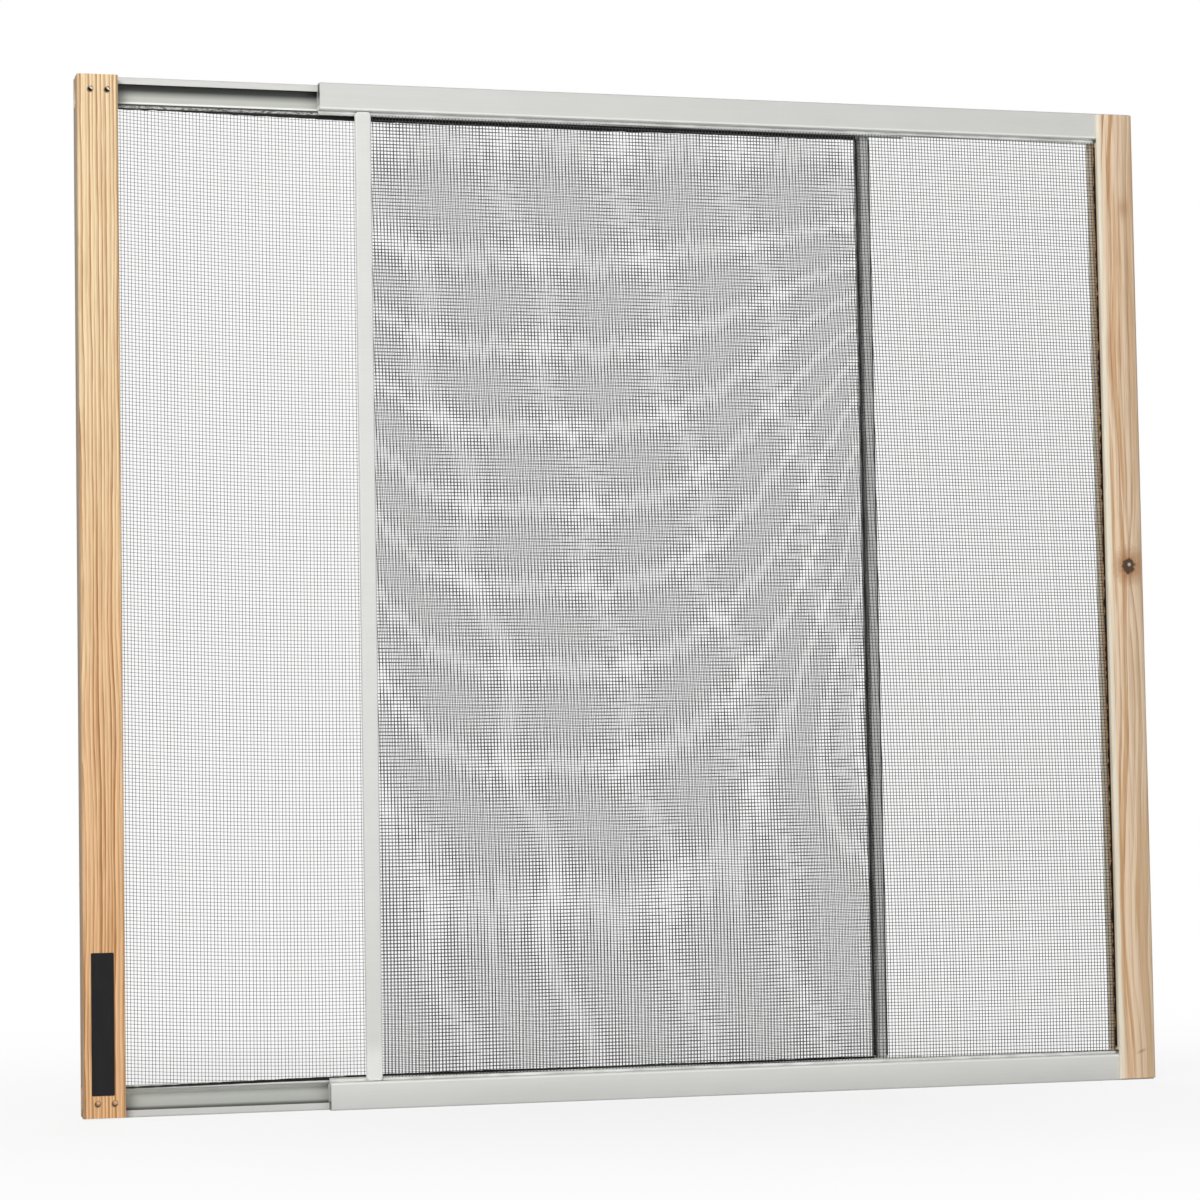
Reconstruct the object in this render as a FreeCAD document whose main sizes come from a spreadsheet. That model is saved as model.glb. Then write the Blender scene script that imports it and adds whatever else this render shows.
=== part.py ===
import FreeCAD, Part
import Sketcher
import math
import os
import re
from FreeCAD import Placement, Rotation, Vector

# Adjustable window screen: two half-frames that slide along each other to suit a window.
# Each half has a wood stile at its outer end, two roll-formed rails, a folded metal stile at its
# free end and an insect mesh. The rear half is the same product turned half round about Z.
# Frame: X along the sill, Y from the front face to the back, Z up, origin at the bottom centre.

# Driving dimensions in millimetres: name, value, meaning
SIZES = [
    ("frame_height", 609.6, "bottom edge of the rails to their top edge"),
    ("rest_width", 668.0, "left edge to right edge as extended at rest"),
    ("front_half_length", 523.5, "free end of the front rails to the right edge"),
    ("rear_half_length", 516.5, "left edge to the free end of the rear rails"),
    ("stile_width", 24.0, "wood stile, across"),
    ("stile_thickness", 19.0, "wood stile, front to back"),
    ("stile_setback", 1.0, "wood stile end below the outer edge of the rails"),
    ("stile_ease", 1.6, "rounding of the wood stile's long edges"),
    ("rail_cover", 2.0, "rail face behind the wood stile's face"),
    ("rail_height", 16.2, "rail face, outer edge to inner edge"),
    ("rail_recess", 0.6, "rail end inside the outer edge of the wood stile"),
    ("rails_gap", 0.5, "running gap between the two facing rails"),
    ("sheet", 0.6, "thickness of the rail and end stile steel"),
    ("bend_radius", 1.2, "outside radius of a fold"),
    ("lip_height", 4.2, "outer lip of a rail, along its open side"),
    ("hem_height", 2.6, "hem of a rail beyond its inner edge"),
    ("hem_inset", 0.6, "hem behind the open side of its rail"),
    ("return_depth", 2.2, "return of the hem that carries the mesh"),
    ("slot_clearance", 0.15, "room round a rail end, a mesh edge or a cord end"),
    ("slide_clearance", 0.5, "room round the hook in the other half's rail"),
    ("hook_depth", 2.0, "hook of the end tab behind the other rail's lip"),
    ("end_stile_offset", 21.6, "free end of the rails to the metal stile"),
    ("end_stile_width", 9.8, "metal stile, across"),
    ("end_stile_recess", 1.6, "metal stile behind the rail face"),
    ("end_stile_leg", 6.0, "back leg of the metal stile"),
    ("end_stile_gap", 0.5, "metal stile end to the rail"),
    ("end_stile_corner", 1.6, "clipped corners of the metal stile"),
    ("mesh_thickness", 0.5, "mesh over its ridges"),
    ("mesh_columns", 10, "gaps across the mesh"),
    ("mesh_rows", 12, "gaps up the mesh"),
    ("mesh_bar", 3.0, "mesh between two gaps"),
    ("mesh_border", 8.0, "closed edge of the mesh"),
    ("ridge_width", 1.0, "thread ridge of the mesh"),
    ("ridge_height", 0.12, "thread ridge above the mesh web"),
    ("cord_clearance", 0.05, "room round a spline cord"),
    ("kerf_cord", 1.9, "diameter of the spline cord in the wood"),
    ("kerf_depth", 8.0, "kerf for the mesh in the wood stile"),
    ("cord_recess", 0.6, "kerf cord behind the edge of the wood"),
    ("nail_shank", 1.5, "nail shank diameter"),
    ("nail_head", 2.8, "nail head diameter"),
    ("nail_rim", 0.3, "straight rim of the nail head"),
    ("nail_dome", 0.5, "crown of the nail head above its rim"),
    ("nail_seat_clearance", 0.2, "room round a nail head"),
    ("nail_point", 1.2, "length of the nail point"),
    ("nail_clearance", 0.05, "room round a nail"),
    ("nail_wall", 1.0, "wood left beyond the nail point"),
    ("nail_edge", 8.0, "outer nail from the outer edge of the wood stile"),
    ("nail_pitch", 9.8, "outer nail to inner nail"),
    ("nail_height", 9.6, "nails from the outer edge of the rails"),
]

# Lengths that follow from the driving dimensions
DERIVED = {
    "rail_depth": "(stile_thickness - rails_gap) / 2 - rail_cover",
    "face_setback": "stile_thickness / 2 - rail_cover",
    "hem_open": "rail_depth - hem_inset",
    "hem_face": "hem_open - sheet",
    "mesh_back": "hem_open - return_depth",
    "mesh_front": "mesh_back - mesh_thickness",
    "hem_end": "rail_height + hem_height",
    "groove_end": "hem_end - sheet",
    "rail_cord": "hem_height - sheet - 2 * cord_clearance",
    "hook_start": "rail_depth + rails_gap + sheet + slide_clearance",
    "tab_end": "rail_height - sheet",
    "mesh_start": "end_stile_offset + bend_radius + slot_clearance",
    "end_stile_foot": "rail_height + end_stile_gap",
    "end_stile_top": "frame_height - end_stile_foot",
    "nail_head_seat": "nail_rim + nail_dome",
    "mesh_height": "frame_height - 2 * groove_end",
    "gap_height": "(mesh_height - 2 * mesh_border - (mesh_rows - 1) * mesh_bar) / mesh_rows",
    "gap_pitch_up": "gap_height + mesh_bar",
}

doc = FreeCAD.newDocument("WindowScreen")
sheet = doc.addObject("Spreadsheet::Sheet", "Sizes")
for row, (name, value, meaning) in enumerate(SIZES, start=1):
    sheet.set("A%d" % row, meaning)
    sheet.set("B%d" % row, str(value))
    sheet.setAlias("B%d" % row, name)
doc.recompute()


def bound(text):
    """Turn a formula in plain names into an expression on the sheet."""
    def expand(match):
        word = match.group()
        if word in DERIVED:
            return "(" + bound(DERIVED[word]) + ")"
        return "Sizes." + word
    return re.sub(r"[a-z_]+", expand, text)


def axis_plane(body, role):
    return next(item for item in body.Origin.OriginFeatures if item.Role == role)


def new_sketch(body, name, role, x="0", y="0", z="0", turned=False):
    """A sketch on an origin plane, shifted in its own axes and turned over if asked."""
    sketch = body.newObject("Sketcher::SketchObject", name)
    sketch.AttachmentSupport = [(axis_plane(body, role), "")]
    sketch.MapMode = "FlatFace"
    if turned:
        sketch.AttachmentOffset = Placement(Vector(), Rotation(Vector(1, 0, 0), 180))
    for axis, formula in zip("xyz", (x, y, z)):
        sketch.setExpression("AttachmentOffset.Base." + axis, bound(formula))
    return sketch


def pin_point(sketch, geometry, position, x, y):
    """Hold a point of the sketch at a place given by two formulas."""
    start = sketch.getPoint(geometry, position)
    for kind, formula, now in (("DistanceX", x, start.x), ("DistanceY", y, start.y)):
        index = sketch.addConstraint(Sketcher.Constraint(kind, -1, 1, geometry, position, now))
        sketch.setExpression("Constraints[%d]" % index, bound(formula))


def draw_outline(sketch, corners):
    """Draw a closed outline of straight runs, and return each corner's line by name."""
    count = len(corners)
    first = sketch.GeometryCount
    rough = [
        Vector(2 + math.cos(turn * 2 * math.pi / count), 2 + math.sin(turn * 2 * math.pi / count), 0)
        for turn in range(count)
    ]
    for turn in range(count):
        sketch.addGeometry(Part.LineSegment(rough[turn], rough[(turn + 1) % count]))
    for turn in range(count):
        following = first + (turn + 1) % count
        sketch.addConstraint(Sketcher.Constraint("Coincident", first + turn, 2, following, 1))
    for turn, (_, x, y) in enumerate(corners):
        pin_point(sketch, first + turn, 1, x, y)
    return {name: first + turn for turn, (name, _, _) in enumerate(corners)}


def draw_rectangle(sketch, left, low, right, high):
    return draw_outline(sketch, [
        ("low_left", left, low),
        ("low_right", right, low),
        ("high_right", right, high),
        ("high_left", left, high),
    ])


def draw_circle(sketch, x, y, diameter):
    circle = sketch.addGeometry(Part.Circle(Vector(2, 2, 0), Vector(0, 0, 1), 1))
    pin_point(sketch, circle, 3, x, y)
    index = sketch.addConstraint(Sketcher.Constraint("Diameter", circle, 2))
    sketch.setExpression("Constraints[%d]" % index, bound(diameter))


def add_pad(body, sketch, length, side="One side", turned=False):
    pad = body.newObject("PartDesign::Pad", sketch.Name + "Pad")
    pad.Profile = sketch
    pad.SideType = side
    pad.Reversed = turned
    pad.setExpression("Length", bound(length))
    doc.recompute()
    return pad


def add_pocket(body, sketch, length=None, turned=False):
    """Cut a sketch to a depth, or right through both ways, and check that it cut."""
    before = body.Shape.Volume
    pocket = body.newObject("PartDesign::Pocket", sketch.Name + "Pocket")
    pocket.Profile = sketch
    if length is None:
        pocket.Type = "ThroughAll"
        pocket.SideType = "Symmetric"
    else:
        pocket.Reversed = turned
        pocket.setExpression("Length", bound(length))
    doc.recompute()
    if not body.Shape.Volume < before:
        raise RuntimeError(pocket.Name + " cuts nothing")
    return pocket


def add_step(body, name, role, spacing, count):
    """One row of repeats along an origin axis."""
    step = body.newObject("PartDesign::LinearPattern", name)
    step.Direction = (axis_plane(body, role), [""])
    step.Mode = "Spacing"
    step.setExpression("Offset", bound(spacing))
    step.setExpression("Occurrences", bound(count))
    return step


def add_pattern(body, feature, rows):
    """Repeat a feature along one or more origin axes: axis, spacing and count of each row."""
    pattern = body.newObject("PartDesign::MultiTransform", feature.Name + "Pattern")
    pattern.Originals = [feature]
    pattern.Transformations = [add_step(body, feature.Name + row[0], *row) for row in rows]
    body.Tip = pattern
    doc.recompute()
    return pattern


def round_corners(body, feature, sketch, lines, names, radius):
    """Round the long edges that a pad raises from the named corners of its sketch."""
    places = [sketch.Placement.multVec(sketch.getPoint(lines[name], 1)) for name in names]
    edges = []
    for number, edge in enumerate(feature.Shape.Edges, start=1):
        ends = [vertex.Point for vertex in edge.Vertexes]
        along = len(ends) == 2 and abs((ends[1] - ends[0]).dot(sketch_normal(sketch))) > 1e-3
        if along and any(end.isEqual(place, 1e-6) for end in ends for place in places):
            edges.append("Edge%d" % number)
    fillet = body.newObject("PartDesign::Fillet", feature.Name + "Fillet")
    fillet.Base = (feature, edges)
    fillet.setExpression("Radius", bound(radius))
    doc.recompute()
    return fillet


def sketch_normal(sketch):
    return sketch.Placement.Rotation.multVec(Vector(0, 0, 1))


class Half:
    """One half-frame. Its own axes run from the free end of the rails to the wood stile."""

    def __init__(self, name, side, length, free_end, turned):
        self.name = name
        self.side = side
        self.length = length
        self.free_end = free_end
        self.turned = turned
        self.sign = "-" if turned else "+"
        self.rotation = Rotation(Vector(0, 0, 1), 180 if turned else 0)

    def body(self, label):
        body = doc.addObject("PartDesign::Body", label)
        body.Label = label
        body.Placement = Placement(Vector(), self.rotation)
        body.setExpression("Placement.Base.x", bound(self.free_end))
        return body

    def cylinder(self, label, lay, diameter, length, along, depth, height):
        """A round cord, laid from its start in the half's own axes."""
        cord = doc.addObject("Part::Cylinder", label)
        cord.Label = label
        cord.setExpression("Radius", bound("(%s) / 2" % diameter))
        cord.setExpression("Height", bound(length))
        cord.Placement = Placement(Vector(), self.rotation.multiply(lay))
        place = (
            "%s %s (%s)" % (self.free_end, self.sign, along),
            "0 %s (%s - face_setback)" % (self.sign, depth),
            height,
        )
        for axis, formula in zip("xyz", place):
            cord.setExpression("Placement.Base." + axis, bound(formula))
        return cord


ALONG_X = Rotation(Vector(0, 1, 0), 90)
ALONG_Z = Rotation()
HALVES = [
    Half("front", "right", "front_half_length", "rest_width / 2 - front_half_length", False),
    Half("rear", "left", "rear_half_length", "rear_half_length - rest_width / 2", True),
]

# Rail section: one strip folded six times. x runs in from the face, y in from the outer edge.
RAIL_SECTION = [
    ("lip_open", "rail_depth", "lip_height"),
    ("lip_fold", "rail_depth", "0"),
    ("face_outer", "0", "0"),
    ("face_inner", "0", "rail_height"),
    ("groove_top", "hem_face", "rail_height"),
    ("groove_bottom", "hem_face", "groove_end"),
    ("return_top", "mesh_back", "groove_end"),
    ("return_bottom", "mesh_back", "hem_end"),
    ("hem_fold", "hem_open", "hem_end"),
    ("flange_fold", "hem_open", "rail_height - sheet"),
    ("web_inner", "sheet", "rail_height - sheet"),
    ("web_outer", "sheet", "sheet"),
    ("lip_inside", "rail_depth - sheet", "sheet"),
    ("lip_end", "rail_depth - sheet", "lip_height"),
]
RAIL_OUTSIDE = ["lip_fold", "face_outer", "face_inner", "hem_fold", "flange_fold"]
RAIL_INSIDE = ["groove_top", "groove_bottom", "web_inner", "web_outer", "lip_inside"]

# End tab of a rail, with the hook that runs behind the lip of the other half's rail
END_TAB = [
    ("face_outer", "0", "sheet"),
    ("open_outer", "rail_depth", "sheet"),
    ("neck_outer", "rail_depth", "lip_height + slide_clearance"),
    ("hook_neck", "hook_start", "lip_height + slide_clearance"),
    ("hook_tip", "hook_start", "sheet + slide_clearance"),
    ("hook_back", "hook_start + hook_depth", "sheet + slide_clearance"),
    ("hook_heel", "hook_start + hook_depth", "tab_end - slide_clearance"),
    ("neck_inner", "rail_depth", "tab_end - slide_clearance"),
    ("open_inner", "rail_depth", "tab_end"),
    ("face_inner", "0", "tab_end"),
]

# Metal end stile section: x across from the free end, y in from the rail face
END_STILE_SECTION = [
    ("face_left", "0", "end_stile_recess"),
    ("face_right", "end_stile_width", "end_stile_recess"),
    ("lip_outer", "end_stile_width", "mesh_front"),
    ("lip_inner", "end_stile_width - sheet", "mesh_front"),
    ("face_inside_right", "end_stile_width - sheet", "end_stile_recess + sheet"),
    ("face_inside_left", "sheet", "end_stile_recess + sheet"),
    ("leg_inside", "sheet", "mesh_back"),
    ("leg_end", "end_stile_leg", "mesh_back"),
    ("leg_back", "end_stile_leg", "mesh_back + sheet"),
    ("fold_back", "0", "mesh_back + sheet"),
]


def make_rail(half, edge):
    """Roll-formed rail along the top or bottom edge, from the free end into the wood stile."""
    top = edge == "top"
    body = half.body("%s_%s_rail" % (half.name, edge))
    place = {"x": "0 - face_setback", "y": "frame_height" if top else "0", "turned": top}
    length = half.length + " - rail_recess"

    section = new_sketch(body, body.Name + "Section", "YZ_Plane", **place)
    lines = draw_outline(section, RAIL_SECTION)
    strip = add_pad(body, section, length, turned=top)
    bends = round_corners(body, strip, section, lines, RAIL_OUTSIDE, "bend_radius")
    round_corners(body, bends, section, lines, RAIL_INSIDE, "bend_radius - sheet")

    tab = new_sketch(body, body.Name + "Tab", "YZ_Plane", **place)
    draw_outline(tab, END_TAB)
    add_pad(body, tab, "sheet", turned=top)

    holes = new_sketch(body, body.Name + "NailHoles", "XZ_Plane")
    height = "frame_height - nail_height" if top else "nail_height"
    for step in ("nail_edge", "nail_edge + nail_pitch"):
        draw_circle(holes, "%s - (%s)" % (half.length, step), height, "nail_shank + 2 * nail_clearance")
    add_pocket(body, holes)
    return body


def make_end_stile(half):
    """Folded metal stile that grips the free edge of the mesh between the two rails."""
    body = half.body(half.name + "_end_stile")
    section = new_sketch(body, body.Name + "Section", "XY_Plane",
                         x="end_stile_offset", y="0 - face_setback", z="end_stile_foot")
    lines = draw_outline(section, END_STILE_SECTION)
    strip = add_pad(body, section, "end_stile_top - end_stile_foot")
    bends = round_corners(body, strip, section, lines, ["face_left", "face_right", "fold_back"], "bend_radius")
    inside = ["face_inside_right", "face_inside_left", "leg_inside"]
    round_corners(body, bends, section, lines, inside, "bend_radius - sheet")

    ends = new_sketch(body, body.Name + "EndNotches", "YZ_Plane", x="0 - face_setback")
    near = "mesh_front - slot_clearance"
    far = "rail_depth"
    draw_rectangle(ends, near, "rail_height", far, "hem_end + slot_clearance")
    draw_rectangle(ends, near, "frame_height - hem_end - slot_clearance", far, "frame_height - rail_height")
    add_pocket(body, ends)

    corners = new_sketch(body, body.Name + "Corners", "XZ_Plane", x="end_stile_offset")
    for side, inward in (("0", "end_stile_corner"), ("end_stile_width", "end_stile_width - end_stile_corner")):
        for end, clipped in (
            ("end_stile_foot", "end_stile_foot + end_stile_corner"),
            ("end_stile_top", "end_stile_top - end_stile_corner"),
        ):
            draw_outline(corners, [("tip", side, end), ("across", inward, end), ("along", side, clipped)])
    add_pocket(body, corners)
    return body


def make_wood_stile(half):
    """Wood stile with a slot for each rail end, a kerf for the mesh and holes for the nails."""
    body = half.body(half.side + "_wood_stile")
    inner_edge = half.length + " - stile_width"
    blank = new_sketch(body, body.Name + "Blank", "XY_Plane",
                       x=inner_edge, y="0 - stile_thickness / 2", z="stile_setback")
    lines = draw_rectangle(blank, "0", "0", "stile_width", "stile_thickness")
    stick = add_pad(body, blank, "frame_height - 2 * stile_setback")
    round_corners(body, stick, blank, lines, list(lines), "stile_ease")

    slots = new_sketch(body, body.Name + "RailSlots", "YZ_Plane", x="0 - face_setback")
    near = "0 - slot_clearance"
    far = "rail_depth + slot_clearance"
    draw_rectangle(slots, near, "0", far, "hem_end + slot_clearance")
    draw_rectangle(slots, near, "frame_height - hem_end - slot_clearance", far, "frame_height")
    add_pocket(body, slots)

    kerf = new_sketch(body, body.Name + "Kerf", "XY_Plane", x=inner_edge, y="0 - face_setback")
    draw_rectangle(kerf, "0", "mesh_front - kerf_cord - 2 * cord_clearance", "kerf_depth", "mesh_back")
    add_pocket(body, kerf)

    places = [
        ("%s - (%s)" % (half.length, step), height)
        for step in ("nail_edge", "nail_edge + nail_pitch")
        for height in ("nail_height", "frame_height - nail_height")
    ]
    back = "0 - stile_thickness / 2"
    bores = (
        ("Bores", "nail_shank + 2 * nail_clearance", "stile_thickness - nail_wall"),
        ("HeadSeats", "nail_head + 2 * nail_seat_clearance", "nail_head_seat"),
    )
    for name, diameter, depth in bores:
        sketch = new_sketch(body, body.Name + name, "XZ_Plane", z=back)
        for x, y in places:
            draw_circle(sketch, x, y, diameter)
        add_pocket(body, sketch, depth, turned=True)
    return body


def make_nails(half):
    """Four nails, driven from the open side of the rails, two at each end of the wood stile."""
    body = half.body(half.side + "_stile_nails")
    profile = new_sketch(body, body.Name + "Profile", "XY_Plane",
                         x="%s - nail_edge - nail_pitch" % half.length,
                         y="0 - stile_thickness / 2", z="nail_height")
    draw_outline(profile, [
        ("point", "0", "nail_wall"),
        ("shank_low", "nail_shank / 2", "nail_wall + nail_point"),
        ("shank_high", "nail_shank / 2", "stile_thickness - nail_head_seat"),
        ("head_low", "nail_head / 2", "stile_thickness - nail_head_seat"),
        ("head_rim", "nail_head / 2", "stile_thickness - nail_dome"),
        ("head_crown", "nail_head / 4", "stile_thickness"),
        ("head_middle", "0", "stile_thickness"),
    ])
    nail = body.newObject("PartDesign::Revolution", body.Name + "Turned")
    nail.Profile = profile
    nail.ReferenceAxis = (profile, ["V_Axis"])
    nail.Angle = 360
    doc.recompute()
    add_pattern(body, nail, [
        ("X_Axis", "nail_pitch", "2"),
        ("Z_Axis", "frame_height - 2 * nail_height", "2"),
    ])
    return body


def make_mesh(half):
    """Insect mesh as one wall with gaps, warp ridges on its face and weft ridges behind."""
    body = half.body(half.name + "_screen_mesh")
    width = half.length + " - stile_width + kerf_depth - slot_clearance - mesh_start"
    gap_width = "((%s) - 2 * mesh_border - (mesh_columns - 1) * mesh_bar) / mesh_columns" % width
    pitch = "%s + mesh_bar" % gap_width
    place = {"x": "mesh_start", "y": "groove_end", "z": "face_setback - mesh_front - mesh_thickness / 2"}

    web = new_sketch(body, body.Name + "Web", "XZ_Plane", **place)
    draw_rectangle(web, "0", "0", width, "mesh_height")
    add_pad(body, web, "mesh_thickness - 2 * ridge_height", side="Symmetric")

    gap = new_sketch(body, body.Name + "Gap", "XZ_Plane", **place)
    draw_rectangle(gap, "mesh_border", "mesh_border", "mesh_border + " + gap_width, "mesh_border + gap_height")
    opening = add_pocket(body, gap)
    add_pattern(body, opening, [
        ("X_Axis", pitch, "mesh_columns"),
        ("Z_Axis", "gap_pitch_up", "mesh_rows"),
    ])

    warp = new_sketch(body, body.Name + "Warp", "XZ_Plane", **place)
    start = "mesh_border + %s + (mesh_bar - ridge_width) / 2" % gap_width
    draw_rectangle(warp, start, "0", start + " + ridge_width", "mesh_height")
    thread = add_pad(body, warp, "mesh_thickness / 2")
    add_pattern(body, thread, [("X_Axis", pitch, "mesh_columns - 1")])

    weft = new_sketch(body, body.Name + "Weft", "XZ_Plane", **place)
    start = "mesh_border + gap_height + (mesh_bar - ridge_width) / 2"
    draw_rectangle(weft, "0", start, width, start + " + ridge_width")
    thread = add_pad(body, weft, "mesh_thickness / 2", turned=True)
    add_pattern(body, thread, [("Z_Axis", "gap_pitch_up", "mesh_rows - 1")])
    return body


def make_splines(half):
    """Spline cords that lock the mesh in the two rail grooves and in the kerf of the wood."""
    depth = "hem_face - cord_clearance - rail_cord / 2"
    length = half.length + " - stile_width - slot_clearance"
    seat = "rail_height + cord_clearance + rail_cord / 2"
    heights = {"top": "frame_height - (%s)" % seat, "bottom": seat}
    cords = [
        half.cylinder("%s_%s_spline" % (half.name, edge), ALONG_X, "rail_cord", length, "0", depth, height)
        for edge, height in heights.items()
    ]
    start = "hem_end + slot_clearance"
    cords.append(half.cylinder(
        half.side + "_kerf_spline", ALONG_Z, "kerf_cord", "frame_height - 2 * (%s)" % start,
        half.length + " - stile_width + cord_recess + kerf_cord / 2",
        "mesh_front - cord_clearance - kerf_cord / 2", start))
    return cords


def main():
    pieces = []
    for half in HALVES:
        pieces.append(make_wood_stile(half))
        pieces.append(make_nails(half))
        pieces.append(make_rail(half, "top"))
        pieces.append(make_rail(half, "bottom"))
        pieces.append(make_end_stile(half))
        pieces.append(make_mesh(half))
        pieces.extend(make_splines(half))
    doc.recompute()

    for item in doc.Objects:
        if "Invalid" in item.State or "Error" in item.State:
            raise RuntimeError("%s is %s" % (item.Label, item.State))
    for piece in pieces:
        if piece.Shape.isNull() or not piece.Shape.isValid():
            raise RuntimeError(piece.Label + " has no valid shape")

    os.makedirs("parts", exist_ok=True)
    for piece in pieces:
        piece.Shape.exportStep("parts/%s.step" % piece.Label)
        print(piece.Label, len(piece.Shape.Solids), round(piece.Shape.Volume, 3), piece.Shape.BoundBox)


main()
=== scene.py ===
import math

import bmesh
import bpy
from bpy.props import FloatProperty, FloatVectorProperty, IntProperty, PointerProperty
from mathutils import Euler, Matrix, Vector, noise


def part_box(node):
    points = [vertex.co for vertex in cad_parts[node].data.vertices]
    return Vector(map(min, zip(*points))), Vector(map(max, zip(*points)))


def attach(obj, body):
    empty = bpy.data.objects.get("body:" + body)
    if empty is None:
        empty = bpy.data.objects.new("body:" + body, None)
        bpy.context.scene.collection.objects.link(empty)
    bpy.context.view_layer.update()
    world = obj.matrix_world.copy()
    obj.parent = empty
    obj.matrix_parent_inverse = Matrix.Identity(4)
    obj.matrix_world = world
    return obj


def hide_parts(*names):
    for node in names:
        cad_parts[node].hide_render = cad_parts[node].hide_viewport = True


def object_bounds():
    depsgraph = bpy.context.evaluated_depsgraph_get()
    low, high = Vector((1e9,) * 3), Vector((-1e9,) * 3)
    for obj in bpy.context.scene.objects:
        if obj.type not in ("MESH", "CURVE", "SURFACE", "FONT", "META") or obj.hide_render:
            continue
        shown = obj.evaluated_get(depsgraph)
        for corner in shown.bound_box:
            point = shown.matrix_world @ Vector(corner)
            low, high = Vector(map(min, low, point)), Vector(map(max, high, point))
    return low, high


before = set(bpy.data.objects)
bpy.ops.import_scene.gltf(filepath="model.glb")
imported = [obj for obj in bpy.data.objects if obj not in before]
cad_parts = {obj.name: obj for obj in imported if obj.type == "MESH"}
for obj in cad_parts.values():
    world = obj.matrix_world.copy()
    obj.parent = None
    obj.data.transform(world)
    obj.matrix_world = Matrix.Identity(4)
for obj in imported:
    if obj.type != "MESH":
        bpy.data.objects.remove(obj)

bl_info = {
    "name": "Adjustable Window Screen",
    "version": (1, 0, 0),
    "blender": (4, 5, 0),
    "location": "View3D > Sidebar > Screen",
    "description": "Wood, enamel, yarn and cord finishes of a sliding window screen",
    "category": "Object",
}

CAD_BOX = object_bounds()
MM = 0.001

# Heights, and places across and up the stiles, in millimetres.
FRAME_MIDDLE = sum(corner[2] for corner in CAD_BOX) / 2 / MM
TOP_HEM = 591.9
LEFT_SWELL = (-324.0, 232.0)
RIGHT_KNOT = (324.2, 321.5)
RIGHT_STAIN = (326.4, 549.0)
RIGHT_NICK = (324.6, 17.6)

# The photograph's view, in metres and degrees.
CAMERA_PLACE = (-0.5856, -2.0404, 0.1712)
CAMERA_TURN = (93.495, 0.942, -15.457)


def colour_property(name, description, default):
    return FloatVectorProperty(
        name=name, description=description, default=default, subtype="COLOR", size=3, min=0.0, max=1.0
    )


def length_property(name, description, millimetres):
    return FloatProperty(
        name=name, description=description, default=millimetres * MM, unit="LENGTH", precision=5, min=0.0
    )


class ScreenWoodSettings(bpy.types.PropertyGroup):
    """Colours and growth rings of the two wood stiles."""

    left_pale: colour_property("Left pale", "Early wood of the left stile", (1.0, 0.81, 0.52))
    left_dark: colour_property("Left dark", "Late wood of the left stile", (0.40, 0.165, 0.04))
    left_warm: colour_property("Left warm", "Heartwood tint at the left stile's foot", (0.95, 0.56, 0.28))
    # Painted shade: colour of the left stile's outer side, dark as if in shadow.
    left_side_shade: colour_property("Left side", "Weathered outer side of the left stile", (0.16, 0.155, 0.13))
    left_ring: length_property("Left ring", "Growth ring width of the left stile", 2.2)
    right_pale: colour_property("Right pale", "Early wood of the right stile", (0.98, 0.76, 0.54))
    right_dark: colour_property("Right dark", "Late wood of the right stile", (0.38, 0.145, 0.035))
    right_sap: colour_property("Right sapwood", "Pale inner edge of the right stile", (1.0, 0.92, 0.75))
    right_ring: length_property("Right ring", "Growth ring width of the right stile", 4.4)
    right_vein: colour_property("Right vein", "Broad brown veins of the right stile", (0.68, 0.38, 0.155))
    # Painted shade: the greyer, darker colour of the right stile's outer third.
    right_outer_shade: colour_property("Right aged", "Greyed outer edge of the right stile", (0.62, 0.50, 0.35))
    # Heart of the knot, also the colour of the painted shade at the nail heads.
    knot_dark_and_nail_shade: colour_property("Knot", "Heart of the knot in the right stile", (0.045, 0.022, 0.012))


class ScreenEnamelSettings(bpy.types.PropertyGroup):
    """Baked enamel of the rails and metal stiles."""

    rail: colour_property("Rail", "Enamel of the rails", (0.71, 0.715, 0.695))
    stile: colour_property("Metal stile", "Enamel of the metal stiles", (0.79, 0.795, 0.78))
    scuff: colour_property("Scuff", "Dulled enamel along handled edges", (0.52, 0.52, 0.50))
    primer: colour_property("Primer", "Thin coat inside the rails", (0.56, 0.58, 0.54))
    # Painted shade: colour of the dark line in the inner corners of a rail.
    corner_shade: colour_property("Grime", "Dark line in the inner corner of a rail", (0.03, 0.034, 0.03))
    # Painted highlight: colour of the bright lines along a rail's bends.
    crease_highlight: colour_property("Crease", "Bright line in the bends of a rail", (0.99, 0.99, 0.97))


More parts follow.
